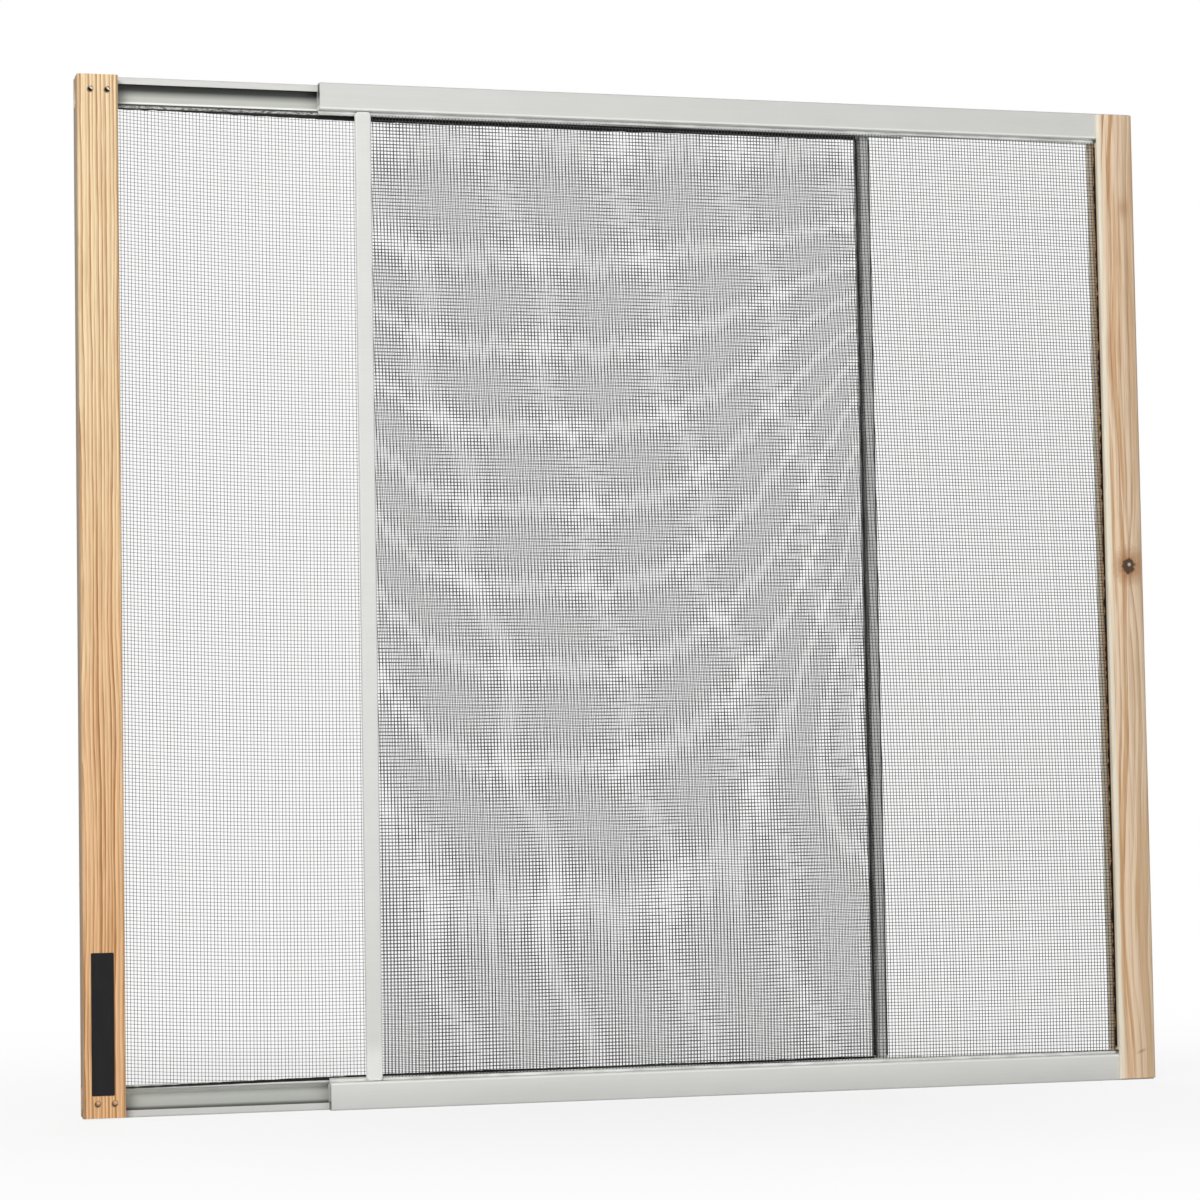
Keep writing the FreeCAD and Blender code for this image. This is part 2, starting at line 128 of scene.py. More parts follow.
class ScreenMeshSettings(bpy.types.PropertyGroup):
    """Yarn of the insect mesh and the way each half hangs."""

    rear_warp: length_property("Rear warp", "Upright threads of the rear half, one to the next", 2.056)
    rear_weft: length_property("Rear weft", "Level threads of the rear half, one to the next", 2.068)
    front_warp: length_property("Front warp", "Upright threads of the front half, one to the next", 2.05)
    front_weft: length_property("Front weft", "Level threads of the front half, one to the next", 2.05)
    rear_thread: length_property("Rear thread", "Thickness of the rear half's yarn", 0.28)
    front_thread: length_property("Front thread", "Thickness of the front half's yarn", 0.39)
    cuts: IntProperty(name="Cuts", description="Divisions along a thread", default=20, min=1)
    spare: length_property("Spare", "Mesh woven past its edges before it is trimmed", 30.0)
    lean: length_property("Lean", "Sideways lean of the front warp, from its middle to its head", 12.1)
    bow: length_property("Bow", "Bow of the front warp", 2.05)
    curl: length_property("Curl", "Straightening of the front warp towards both ends", 3.5)
    front_draw: length_property("Front draw", "Warp drawn aside at the front metal stile", 2.4)
    front_reach: length_property("Front reach", "How far the front draw is felt", 109.0)
    rear_draw: length_property("Rear draw", "Warp drawn aside at the rear metal stile", 8.6)
    rear_reach: length_property("Rear reach", "How far the rear draw is felt", 217.0)
    front_fall: FloatProperty(
        name="Front fall", description="Fall of the front weft to the right", default=0.0105
    )
    rear_rise: FloatProperty(
        name="Rear rise", description="Rise of the rear weft to the right", default=0.0175
    )
    lift: length_property("Lift", "Rise of the rear weft towards the wood stile", 9.2)
    lift_reach: length_property("Lift reach", "How far the lift is felt", 198.0)
    front_aside: length_property("Front aside", "Front warp set to the left of the middle", 0.56)
    front_down: length_property("Front down", "Front weft set below the middle", 0.36)
    warp_share: FloatProperty(name="Warp share", description="Warp thickness to yarn thickness", default=1.08)
    weft_share: FloatProperty(name="Weft share", description="Weft thickness to yarn thickness", default=0.88)
    uneven: length_property("Uneven", "Threads out of their even spacing", 0.26)
    ripple: length_property("Ripple", "Small ripple of the weft", 0.22)
    ripple_length: length_property("Ripple length", "One ripple to the next", 115.0)
    # The front yarn is set darker than the rear, in part a painted shade: the front half's right side lies
    # farther from the key light.
    rear: colour_property("Rear yarn", "Yarn of the rear half", (0.060, 0.058, 0.060))
    front: colour_property("Front yarn", "Yarn of the front half", (0.040, 0.038, 0.041))


class ScreenTrimSettings(bpy.types.PropertyGroup):
    """Cords, tucked yarn, nails and the plain strip."""

    cord: colour_property("Cord", "Black spline cord in the wood", (0.012, 0.012, 0.012))
    # Near white: the grey spline's own colour, lifted as a painted highlight against the shade under the rail
    # face.
    rail_cord: colour_property("Rail cord", "Grey spline cord in the rails", (0.88, 0.905, 0.88))
    fold: colour_property("Fold", "Yarn edge tucked round a hem", (0.020, 0.021, 0.020))
    fold_light: colour_property("Fold light", "Thread ends that catch the light", (0.62, 0.63, 0.60))
    nail: colour_property("Nail", "Wire nail steel", (0.34, 0.33, 0.315))
    filler: colour_property("Filler", "Wood filler over the lower nails", (0.70, 0.42, 0.20))
    strip: colour_property("Strip", "Plain vinyl strip", (0.007, 0.007, 0.0075))
    strip_width: length_property("Strip width", "Plain strip across the stile", 13.2)
    strip_height: length_property("Strip height", "Plain strip along the stile", 82.0)
    strip_film: length_property("Strip film", "Thickness of the strip", 0.15)


class ScreenStageSettings(bpy.types.PropertyGroup):
    """Studio round the screen."""

    key_power: FloatProperty(name="Key", description="Power of the key light", default=33.0, unit="POWER")
    fill_power: FloatProperty(name="Fill", description="Power of the fill light", default=12.0, unit="POWER")
    back_power: FloatProperty(name="Back", description="Power of the back light", default=16.0, unit="POWER")
    sky: FloatProperty(name="Sky", description="Strength of the surrounding light", default=0.15, min=0.0)
    floor: colour_property("Floor", "Paper under the screen", (0.82, 0.82, 0.82))
    focal_length: FloatProperty(
        name="Focal length", description="Lens of the camera", default=105.0, unit="CAMERA"
    )


class Value:
    """A shader value. Python operators on it add Math nodes."""

    def __init__(self, nodes, socket):
        self.nodes = nodes
        self.socket = socket

    def math(self, operation, *values):
        return self.nodes.node("ShaderNodeMath", {"operation": operation}, dict(enumerate(values)))

    def __add__(self, other):
        return self.math("ADD", self, other)

    def __radd__(self, other):
        return self.math("ADD", other, self)

    def __sub__(self, other):
        return self.math("SUBTRACT", self, other)

    def __rsub__(self, other):
        return self.math("SUBTRACT", other, self)

    def __mul__(self, other):
        return self.math("MULTIPLY", self, other)

    def __rmul__(self, other):
        return self.math("MULTIPLY", other, self)

    def __truediv__(self, other):
        return self.math("DIVIDE", self, other)

    def __rtruediv__(self, other):
        return self.math("DIVIDE", other, self)

    def __pow__(self, other):
        return self.math("POWER", self, other)

    def __rpow__(self, other):
        return self.math("POWER", other, self)

    def __neg__(self):
        return self.math("MULTIPLY", self, -1.0)

    def whole(self):
        return self.math("FLOOR", self)

    def fraction(self):
        return self.math("FRACT", self)

    def root(self):
        return self.math("SQRT", self)

    def exponential(self):
        return self.math("EXPONENT", self)

    def size(self):
        return self.math("ABSOLUTE", self)

    def sign(self):
        return self.math("SIGN", self)


class Nodes:
    """A node tree while it is being made."""

    def __init__(self, tree):
        self.tree = tree

    def node(self, kind, settings=None, inputs=None, output=0):
        """Add a node with its settings and the values or links of its sockets."""
        node = self.tree.nodes.new(kind)
        for key, value in (settings or {}).items():
            setattr(node, key, value)
        for key, value in (inputs or {}).items():
            self.feed(node.inputs[key], value)
        return Value(self, node.outputs[output])

    def feed(self, socket, value):
        """Link a value to a socket, or set a plain number or colour on it."""
        if isinstance(value, Value):
            self.tree.links.new(value.socket, socket)
        elif socket.type == "RGBA" and len(value) == 3:
            socket.default_value = (*value, 1.0)
        else:
            socket.default_value = value

    def millimetres(self):
        """The object's own coordinates as three values in millimetres."""
        place = self.node("ShaderNodeTexCoord", output="Object")
        scaled = self.node("ShaderNodeVectorMath", {"operation": "SCALE"}, {0: place, "Scale": 1 / MM})
        split = self.node("ShaderNodeSeparateXYZ", None, {0: scaled})
        return [Value(self, socket) for socket in split.socket.node.outputs]

    def vector(self, x, y, z):
        return self.node("ShaderNodeCombineXYZ", None, {0: x, 1: y, 2: z})

    def noise(self, x, y, z, detail=2.0, roughness=0.5):
        vector = self.vector(x, y, z)
        inputs = {"Vector": vector, "Scale": 1.0, "Detail": detail, "Roughness": roughness}
        return self.node("ShaderNodeTexNoise", None, inputs)

    @staticmethod
    def spot(across, along):
        """One in the middle of a soft round spot, fading outwards."""
        return (-(across ** 2.0) - along ** 2.0).exponential()

    def grey(self, value, low, high, start=0.0, end=1.0):
        """Map a value from one range to another, held at its ends."""
        inputs = {"Value": value, "From Min": low, "From Max": high, "To Min": start, "To Max": end}
        return self.node("ShaderNodeMapRange", {"clamp": True}, inputs)

    def blend(self, factor, first, second, mode="MIX"):
        settings = {"data_type": "RGBA", "blend_type": mode}
        return self.node("ShaderNodeMix", settings, {0: factor, 6: first, 7: second}, output=2)

    def toned(self, colour, tone):
        """A colour made darker or lighter by a value."""
        return self.blend(1.0, colour, self.vector(tone, tone, tone), "MULTIPLY")

    def bump(self, height, distance, strength):
        inputs = {"Height": height, "Distance": distance, "Strength": strength}
        return self.node("ShaderNodeBump", None, inputs)


class Finish(Nodes):
    """A node material while it is being made."""

    def __init__(self, name):
        self.material = bpy.data.materials.new(name)
        self.material.use_nodes = True
        super().__init__(self.material.node_tree)
        self.shader = self.tree.nodes["Principled BSDF"]

    def done(self, **inputs):
        """Set the shader's sockets, named with _ for a space."""
        for name, value in inputs.items():
            self.feed(self.shader.inputs[name.replace("_", " ")], value)
        return self.material


def corners(node_name):
    """The low and the high corner of a CAD node's box."""
    return [Vector(corner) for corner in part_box(node_name)]


def dress(node_name, material):
    """Give a CAD node its finish."""
    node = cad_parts[node_name]
    node.data.materials.clear()
    node.data.materials.append(material)


def new_piece(name, mesh, body, material):
    """Put a finished mesh in the scene as a piece that rides on a body."""
    piece = bpy.data.objects.new(name, mesh)
    bpy.context.scene.collection.objects.link(piece)
    mesh.materials.append(material)
    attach(piece, body)
    return piece


def growth_lines(finish, ring, z, sharp):
    """Late wood lines, each ring with a depth of its own."""
    own = finish.noise(ring.whole() * 3.7, 0.0, z * 0.0025, detail=1.0)
    line = ring.fraction() ** sharp * (1.0 - finish.grey(ring.fraction(), 0.94, 1.0))
    return line * finish.grey(own, 0.36, 0.60, 0.30, 1.0)


def from_nail(node_name, x, z):
    """How far a point lies to the right of and above the nail in its corner of a stile."""
    low, high = (corner / MM for corner in corners(node_name))
    head_radius = 1.4
    middle = (low + high) / 2
    aside = x - middle.x
    above = z - middle.z
    return (
        aside - aside.sign() * ((high.x - low.x) / 2 - head_radius),
        above - above.sign() * ((high.z - low.z) / 2 - head_radius),
    )


def nail_painted_shade(finish, node_name, facing, x, y, z):
    """Painted shade at the lower left of the nail heads, on the nailed face alone."""
    aside, above = from_nail(node_name, x, z)
    away = ((aside + 0.5) ** 2.0 + (above + 0.6) ** 2.0).root()
    return finish.grey(away, 1.3, 2.2, 0.95, 0.0) * finish.grey(y * facing, 8.0, 9.0)


def left_wood():
    """Straight, close growth rings that run up the stile, warmer towards the foot."""
    look = bpy.context.scene.screen_wood
    outer = corners("left_wood_stile")[0].x / MM
    finish = Finish("left_wood")
    x, y, z = finish.millimetres()
    sway = finish.noise(x * 0.02, y * 0.02, z * 0.006, detail=1.0) * 7.0
    tremble = finish.noise(x * 0.25, y * 0.25, z * 0.03) * 1.3
    swell = (-(((z - LEFT_SWELL[1]) / 40.0) ** 2.0)).exponential() * (x - LEFT_SWELL[0]) * -0.20
    across = x + y * 0.45 + sway + tremble + swell
    drift = finish.noise(across * 0.11, 0.0, z * 0.0012, detail=1.0) * 1.3
    late = growth_lines(finish, (across + 400.0) / (look.left_ring / MM) + drift, z, 1.5)
    fibre = finish.noise(x * 1.1, y * 1.1, z * 0.016, detail=3.0, roughness=0.75)
    cloud = finish.noise(x * 0.05, y * 0.05, z * 0.012) * 220.0
    warmth = finish.grey(z + cloud, 240.0, 560.0, 0.85, 0.05)
    pale = finish.blend(warmth, look.left_pale, look.left_warm)
    tint = finish.grey(late * 1.4 + finish.grey(fibre, 0.34, 0.62, 0.32, -0.12), 0.0, 1.0)
    grain = finish.blend(tint * finish.grey(z, 360.0, 540.0, 1.0, 0.86), pale, look.left_dark)
    # Painted shade: the outer side of the left stile is coloured dark, more so towards its back.
    side_shade_mask = finish.grey(x, outer + 0.1, outer + 0.8, 0.6, 0.0) * finish.grey(y, -8.6, -2.0)
    side_shaded = finish.blend(side_shade_mask, grain, look.left_side_shade)
    # Painted shade round the nail heads of the left stile.
    nail_shade = nail_painted_shade(finish, "left_stile_nails", -1, x, y, z)
    colour = finish.blend(nail_shade, side_shaded, look.knot_dark_and_nail_shade)
    return finish.done(
        Base_Color=colour,
        Roughness=finish.grey(late * 0.4 + fibre * 0.6, 0.2, 0.9, 0.72, 0.52),
        Normal=finish.bump(late * 0.5 + fibre, 0.14 * MM, 0.6),
    )


def right_wood():
    """Long wavy rings that part round a knot, with a pale strip along the inner edge."""
    look = bpy.context.scene.screen_wood
    inner = corners("right_wood_stile")[0].x / MM
    finish = Finish("right_wood")
    x, y, z = finish.millimetres()
    knot_x = x - RIGHT_KNOT[0]
    knot_z = z - RIGHT_KNOT[1]
    part = finish.spot(knot_x / 7.0, knot_z / 34.0) * knot_x.sign() * 3.4
    sway = finish.noise(x * 0.018, y * 0.018, z * 0.0055 + 3.0, detail=1.0) * 17.0
    tremble = finish.noise(x * 0.16, y * 0.16, z * 0.02) * 1.8
    across = x + y * 0.5 + sway + tremble + part
    late = growth_lines(finish, across / (look.right_ring / MM), z + 140.0, 2.4)
    fibre = finish.noise(x * 1.1, y * 1.1, z * 0.016 + 11.0, detail=3.0, roughness=0.75)
    sap = finish.grey(x + tremble * 1.2, inner + 3.6, inner + 4.6, 1.0, 0.0)
    broad = finish.noise(across * 0.24, 5.0, z * 0.0045, detail=2.5)
    veins = finish.grey(broad, 0.50, 0.565, 0.0, 0.85) * finish.grey(fibre, 0.30, 0.62, 1.0, 0.7)
    veined = finish.blend(veins, look.right_pale, look.right_vein)
    pale = finish.blend(sap * 0.95, veined, look.right_sap)
    kerfed = finish.grey(y, -6.4, -5.4) * finish.grey(y, -0.5, 2.5, 1.0, 0.0)
    side = finish.grey(x, inner + 0.1, inner + 0.7, 1.0, 0.0) * kerfed
    sided = finish.blend(side, pale, look.right_vein)
    tint = finish.grey(late * 0.95 + finish.grey(fibre, 0.34, 0.62, 0.36, -0.16), 0.0, 1.0)
    calm = (1.0 - sap * 0.75) * finish.grey(z, 60.0, 250.0, 0.55, 1.0)
    wood = finish.blend(tint * calm, sided, look.right_dark)
    # Painted shade: the outer third of the right stile is coloured greyer and darker, as if in shadow.
    outer_shade = finish.grey(x + tremble, inner + 10.0, inner + 21.0, 0.0, 0.45)
    outer_shaded = finish.blend(outer_shade, wood, look.right_outer_shade)
    rough_edge = finish.noise(x * 0.5, y * 0.5, z * 0.5) * 4.0
    round_knot = (knot_x ** 2.0 + (knot_z * 0.85) ** 2.0).root() + rough_edge
    browned = finish.blend(finish.grey(round_knot, 6.2, 14.5, 0.75, 0.0), outer_shaded, look.right_dark)
    heart = finish.grey(round_knot, 5.7, 6.7, 0.97, 0.0)
    knotted = finish.blend(heart, browned, look.knot_dark_and_nail_shade)
    eye = finish.grey(((knot_x - 0.4) ** 2.0 + (knot_z - 1.0) ** 2.0).root(), 0.5, 1.5, 0.7, 0.0)
    eyed = finish.blend(eye, knotted, look.right_pale)
    stain = finish.spot((x - RIGHT_STAIN[0]) / 3.4, (z - RIGHT_STAIN[1]) / 6.5)
    stained = finish.blend(stain * finish.grey(fibre, 0.3, 0.7, 0.15, 0.75), eyed, look.right_dark)
    nick = finish.spot((x - RIGHT_NICK[0]) / 2.6, (z - RIGHT_NICK[1] - knot_x * 0.35) / 0.9) * 0.6
    nicked = finish.blend(nick, stained, look.right_dark)
    # Painted shade round the nail heads of the right stile, on its back.
    nail_shade = nail_painted_shade(finish, "right_stile_nails", 1, x, y, z)
    colour = finish.blend(nail_shade, nicked, look.knot_dark_and_nail_shade)
    return finish.done(
        Base_Color=colour,
        Roughness=finish.grey(late * 0.4 + fibre * 0.6, 0.2, 0.9, 0.74, 0.54),
        Normal=finish.bump(late * 0.5 + fibre - heart * 1.5, 0.14 * MM, 0.6),
    )


def enamel(name, colour, primed):
    """Baked enamel on rolled steel, with faint rolling lines and specks and a primed inside; painted shade at
    the foot of the low rails and in the inner corners, painted highlights along the bends.
    """
    look = bpy.context.scene.screen_enamel
    finish = Finish(name)
    x, y, z = finish.millimetres()
    peel = finish.noise(x * 0.55, y * 0.55, z * 0.55)
    rolling = finish.noise(x * 0.006, y * 1.4, z * 1.4)
    cloud = finish.noise(x * 0.018, y * 0.05, z * 0.05, detail=3.0)
    speck = finish.noise(x * 0.9, y * 0.9, z * 0.9, detail=3.0, roughness=0.7)
    dust = finish.grey(speck, 0.66, 0.76, 0.0, 0.22) * finish.grey(cloud, 0.45, 0.65)
    # Painted light and shade: the low rails' faces darker at their foot and lighter higher up, as on a
    # rounded face lit from above.
    dome_light_and_shade = finish.grey(z, 1.5, 17.5, 0.93, 1.18) - finish.grey(z, 30.0, 40.0, 0.0, 0.18)
    tone = finish.grey(cloud * 0.6 + rolling * 0.4, 0.3, 0.7, 0.965, 1.03) * dome_light_and_shade
    shaded = finish.toned(colour, tone)
    dusty = finish.blend(dust, shaded, look.scuff)
    # From the frame's middle, a rail's bends lie at a height of 288 to 292 and its back corner at 294 to 300.
    depth = y.size()
    height = (z - FRAME_MIDDLE).size()
    inside = finish.grey(depth, 0.85, 0.95) * finish.grey(depth, 7.1, 7.3, 1.0, 0.0)
    within = inside * finish.grey(height, 304.2, 304.5, 1.0, 0.0) * primed
    top = finish.grey(z, 300.0, 310.0)
    # Painted shade: a dark line under the upper lip inside the top rails, and above the lower lip inside the
    # bottom rails.
    corner = finish.grey(height, 294.0, 298.4, 0.0, 0.94) * top
    seam_shade = finish.grey(height, 298.6, 300.2, 0.0, 0.8) * (1.0 - top)
    lining = finish.blend(corner + seam_shade, look.primer, look.corner_shade)
    # Painted highlight: a bright line inside the rails where the inner flange meets the web, stronger in the
    # top rails.
    crease_highlight = finish.grey(height, 289.4, 289.8) * finish.grey(height, 291.0, 291.6, 1.0, 0.0)
    crease_highlighted = finish.blend(crease_highlight * finish.grey(top, 0.0, 1.0, 0.4, 1.0), lining, look.crease_highlight)
    lined = finish.blend(within, dusty, crease_highlighted)
    # Painted highlight: a bright line along the inner edge of each rail's face and on the flange's underside
    # beside it.
    bend_highlight = finish.grey(height, 288.2, 288.5) * finish.grey(height, 289.5, 290.2, 1.0, 0.0)
    coated = finish.blend(bend_highlight * finish.grey(depth, 1.6, 2.0) * primed * 0.9, lined, look.crease_highlight)
    return finish.done(
        Base_Color=coated,
        Roughness=finish.grey(cloud + peel * 0.5, 0.4, 1.1, 0.34, 0.50),
        Normal=finish.bump(peel * 0.6 + rolling * 0.4, 0.04 * MM, 0.35),
    )


def yarn_finish(name, colour):
    """Grey vinyl-coated glass yarn, painted lighter at its upper left and darker towards its lower right for
    the fall of the light, its tone changing along the threads.
    """
    finish = Finish(name)
    x, y, z = finish.millimetres()
    cloud = finish.noise(x * 0.02, y * 0.02, z * 0.02)
    slub = finish.noise(x * 0.6, y * 0.6, z * 0.6)
    # Painted light: the yarn is lighter at the upper left, nearer the key light, and darker towards the lower
    # right.
    light_falloff = finish.grey(z - x * 0.25, -40.0, 620.0, 0.1, 1.5)
    tone = finish.grey(cloud * 0.5 + slub * 0.5, 0.3, 0.7, 0.75, 1.25) * light_falloff
    return finish.done(
        Base_Color=finish.toned(colour, tone),
        Roughness=finish.grey(slub, 0.3, 0.7, 0.42, 0.58),
        Normal=finish.bump(slub, 0.02 * MM, 0.5),
    )


def cord_finish(name, colour, gloss=0.5):
    """Extruded vinyl with fine ribs along the cord."""
    finish = Finish(name)
    x, y, z = finish.millimetres()
    bloom = finish.noise(x * 0.08, y * 0.08, z * 0.08, detail=3.0)
    rib = finish.noise(x * 0.35, y * 3.0, z * 0.35)
    tone = finish.grey(bloom, 0.35, 0.75, 0.85, 1.2)
    return finish.done(
        Base_Color=finish.toned(colour, tone),
        Roughness=finish.grey(bloom, 0.3, 0.7, 0.45, 0.65),
        Specular_IOR_Level=gloss,
        Normal=finish.bump(rib, 0.08 * MM, 0.6),
    )


def nail_finish(node_name):
    """Drawn wire, with a painted highlight at the upper right of a head and painted shade at its lower left.
    """
    look = bpy.context.scene.screen_trim
    finish = Finish(node_name)
    x, y, z = finish.millimetres()
    aside, above = from_nail(node_name, x, z)
    mark = finish.noise(x * 1.8, y * 1.8, z * 1.8, detail=3.0)
    # Painted highlight at the upper right of each head, painted shade at its lower left.
    tone = finish.grey(mark, 0.35, 0.65, 0.7, 1.1) * finish.grey(aside + above * 1.2, -0.5, 0.5, 0.04, 2.4)
    steel = finish.toned(look.nail, tone)
    filled = finish.grey(z, 200.0, 400.0, 0.85, 0.0)
    return finish.done(
        Base_Color=finish.blend(filled, steel, look.filler),
        Metallic=1.0 - filled,
        Roughness=finish.grey(mark, 0.3, 0.7, 0.22, 0.42),
        Normal=finish.bump(mark, 0.15 * MM, 0.6),
    )


def strip_finish():
    """Plain black vinyl film, rubbed a little grey."""
    look = bpy.context.scene.screen_trim
    finish = Finish("plain_strip")
    x, y, z = finish.millimetres()
    rub = finish.noise(x * 0.22, y * 0.22, z * 0.05, detail=4.0, roughness=0.6)
    tone = finish.grey(rub, 0.4, 0.75, 0.8, 1.9)
    return finish.done(
        Base_Color=finish.toned(look.strip, tone),
        Roughness=finish.grey(rub, 0.3, 0.7, 0.50, 0.66),
        Specular_IOR_Level=0.2,
        Normal=finish.bump(rub, 0.03 * MM, 0.4),
    )


class SCREEN_OT_wood_stiles(bpy.types.Operator):
    """Finish the two wood stiles"""

    bl_idname = "screen.wood_stiles"
    bl_label = "Wood stiles"

    def execute(self, context):
        dress("left_wood_stile", left_wood())
        dress("right_wood_stile", right_wood())
        return {"FINISHED"}


class SCREEN_OT_rails(bpy.types.Operator):
    """Enamel the rails and the metal stiles"""

    bl_idname = "screen.rails"
    bl_label = "Rails and metal stiles"

    def execute(self, context):
        look = context.scene.screen_enamel
        rail = enamel("rail_enamel", look.rail, 1.0)
        stile = enamel("stile_enamel", look.stile, 0.0)
        for half in ("front", "rear"):
            dress(half + "_top_rail", rail)
            dress(half + "_bottom_rail", rail)
            dress(half + "_end_stile", stile)
        return {"FINISHED"}


def strand_mesh(length, thickness, cuts):
    """One four-sided thread along Z, divided along its length."""
    bm = bmesh.new()
    bmesh.ops.create_cone(
        bm, cap_ends=False, segments=4, radius1=thickness / 2, radius2=thickness / 2, depth=length
    )
    runs = [edge for edge in bm.edges if abs(edge.verts[0].co.z - edge.verts[1].co.z) > length / 2]
    bmesh.ops.subdivide_edges(bm, edges=runs, cuts=cuts, use_grid_fill=True)
    return bm


class Weave:
    """The stretched mesh of one half, woven wide, drawn out of true and trimmed to its box."""

    DRAW_MIDDLE = 0.05
    DRAW_REACH = 0.62

    def __init__(self, half, look):
        self.half = half
        self.look = look
        self.low, self.high = corners(half + "_screen_mesh")
        self.middle = (self.low + self.high) / 2
        self.size = self.high - self.low
        self.thread = getattr(look, half + "_thread")

    def drift(self, place):
        """How far a point of the mesh hangs out of true."""
        look = self.look
        up = (place.z - self.middle.z) / self.size.z * 2
        hold = math.exp(-(((up - self.DRAW_MIDDLE) / self.DRAW_REACH) ** 4))
        wave = look.ripple * math.sin(2 * math.pi * place.z / look.ripple_length)
        if self.half == "front":
            drawn = max(0.0, 1 - (place.x - self.low.x) / look.front_reach)
            across = look.front_draw * drawn ** 3 * hold - look.front_aside
            across += look.curl * up ** 3 - look.bow * up ** 2 - look.lean * up
            rise = look.front_fall * (self.middle.x - place.x) + wave - look.front_down
        else:
            drawn = max(0.0, 1 - (self.high.x - place.x) / look.rear_reach)
            lifted = max(0.0, 1 - (place.x - self.low.x) / look.lift_reach)
            across = -look.rear_draw * drawn ** 3 * hold
            rise = look.rear_rise * (place.x - self.middle.x) + look.lift * lifted ** 2
        return Vector((across, 0, rise))

    def lay(self, woven, strand, pitch, spread, direction, depth):
        """Repeat a strand across the mesh."""
        one = bpy.data.meshes.new("strand")
        count = int(spread / pitch)
        for number in range(count):
            astray = self.look.uneven * noise.noise(Vector((number * 0.67, spread / MM, depth.y / MM)))
            shift = self.middle + depth + direction * ((number - (count - 1) / 2) * pitch + astray)
            bmesh.ops.translate(strand, verts=strand.verts, vec=shift)
            strand.to_mesh(one)
            woven.from_mesh(one)
            bmesh.ops.translate(strand, verts=strand.verts, vec=-shift)
        strand.free()
        bpy.data.meshes.remove(one)

    def mesh(self):
        look = self.look
        depth = Vector((0, (self.size.y - self.thread) / 2, 0))
        wide = self.size.x + 2 * look.spare
        tall = self.size.z + 2 * look.spare
        woven = bmesh.new()
        warp = strand_mesh(tall, self.thread * look.warp_share, look.cuts)
        self.lay(woven, warp, getattr(look, self.half + "_warp"), wide, Vector((1, 0, 0)), -depth)
        weft = strand_mesh(wide, self.thread * look.weft_share, look.cuts)
        bmesh.ops.rotate(weft, verts=weft.verts, matrix=Matrix.Rotation(math.pi / 2, 3, "Y"))
        self.lay(woven, weft, getattr(look, self.half + "_weft"), tall, Vector((0, 0, 1)), depth)
        for vertex in woven.verts:
            vertex.co += self.drift(vertex.co)
        for corner, outward in (
            (self.low, (-1, 0, 0)), (self.low, (0, 0, -1)), (self.high, (1, 0, 0)), (self.high, (0, 0, 1))
        ):
            everything = [*woven.verts, *woven.edges, *woven.faces]
            bmesh.ops.bisect_plane(
                woven, geom=everything, plane_co=corner, plane_no=outward, clear_outer=True
            )
        cut_ends = [edge for edge in woven.edges if edge.is_boundary]
        bmesh.ops.holes_fill(woven, edges=cut_ends, sides=0)
        bmesh.ops.recalc_face_normals(woven, faces=woven.faces[:])
        mesh = bpy.data.meshes.new(self.half + "_yarn")
        woven.to_mesh(mesh)
        woven.free()
        mesh.shade_smooth()
        return mesh


class SCREEN_OT_meshes(bpy.types.Operator):
    """Weave the insect mesh of both halves"""

    bl_idname = "screen.meshes"
    bl_label = "Insect mesh"

    def execute(self, context):
        look = context.scene.screen_mesh
        for half in ("rear", "front"):
            material = yarn_finish(half + "_yarn", getattr(look, half))
            mesh = Weave(half, look).mesh()
            piece = new_piece(half + "_yarn_mesh", mesh, half + "_half", material)
            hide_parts(half + "_screen_mesh")
        return {"FINISHED"}


def fold_finish():
    """Tucked yarn: dark, with light thread ends."""
    look = bpy.context.scene.screen_trim
    finish = Finish("yarn_fold")
    x, y, z = finish.millimetres()
    weave = finish.noise(x * 0.45, y * 0.95, z * 1.6, roughness=0.7)
    middle = finish.grey((z - TOP_HEM).size(), 0.3, 1.0, 1.0, 0.05)
    ends = finish.grey(weave, 0.40, 0.60, 0.1, 1.0) * middle
    return finish.done(
        Base_Color=finish.blend(ends, look.fold, look.fold_light),
        Roughness=finish.grey(weave, 0.3, 0.7, 0.55, 0.75),
        Normal=finish.bump(weave, 0.4 * MM, 0.6),
    )


def frayed_strip(bm, start, run, across, wander, sag=0.0, lead=0.0):
    """Add a flat strip along run, frayed like cut yarn, sagging in waves and widening over its lead."""
    step = 2.4 * MM
    fray = 3.4 * MM
    wave = 46.0 * MM
    taper = 0.85
    place = Matrix((run, across, run.cross(across).normalized())).transposed().to_4x4()
    place.translation = start + (run + across) / 2
    made = bmesh.ops.create_grid(
        bm, x_segments=int(run.length / step), y_segments=1, size=0.5, matrix=place
    )
    for vertex in made["verts"]:
        reach = (vertex.co - start).dot(across) / across.length_squared
        along = (vertex.co - start).dot(run) / run.length
        if along < lead:
            vertex.co -= across * (reach * taper * (1 - along / lead))
        slack = sag * noise.noise(Vector((vertex.co.dot(run.normalized()) / wave, 0.5, 0.5)))
        vertex.co += across * (reach * wander * noise.noise(vertex.co / fray) + slack)


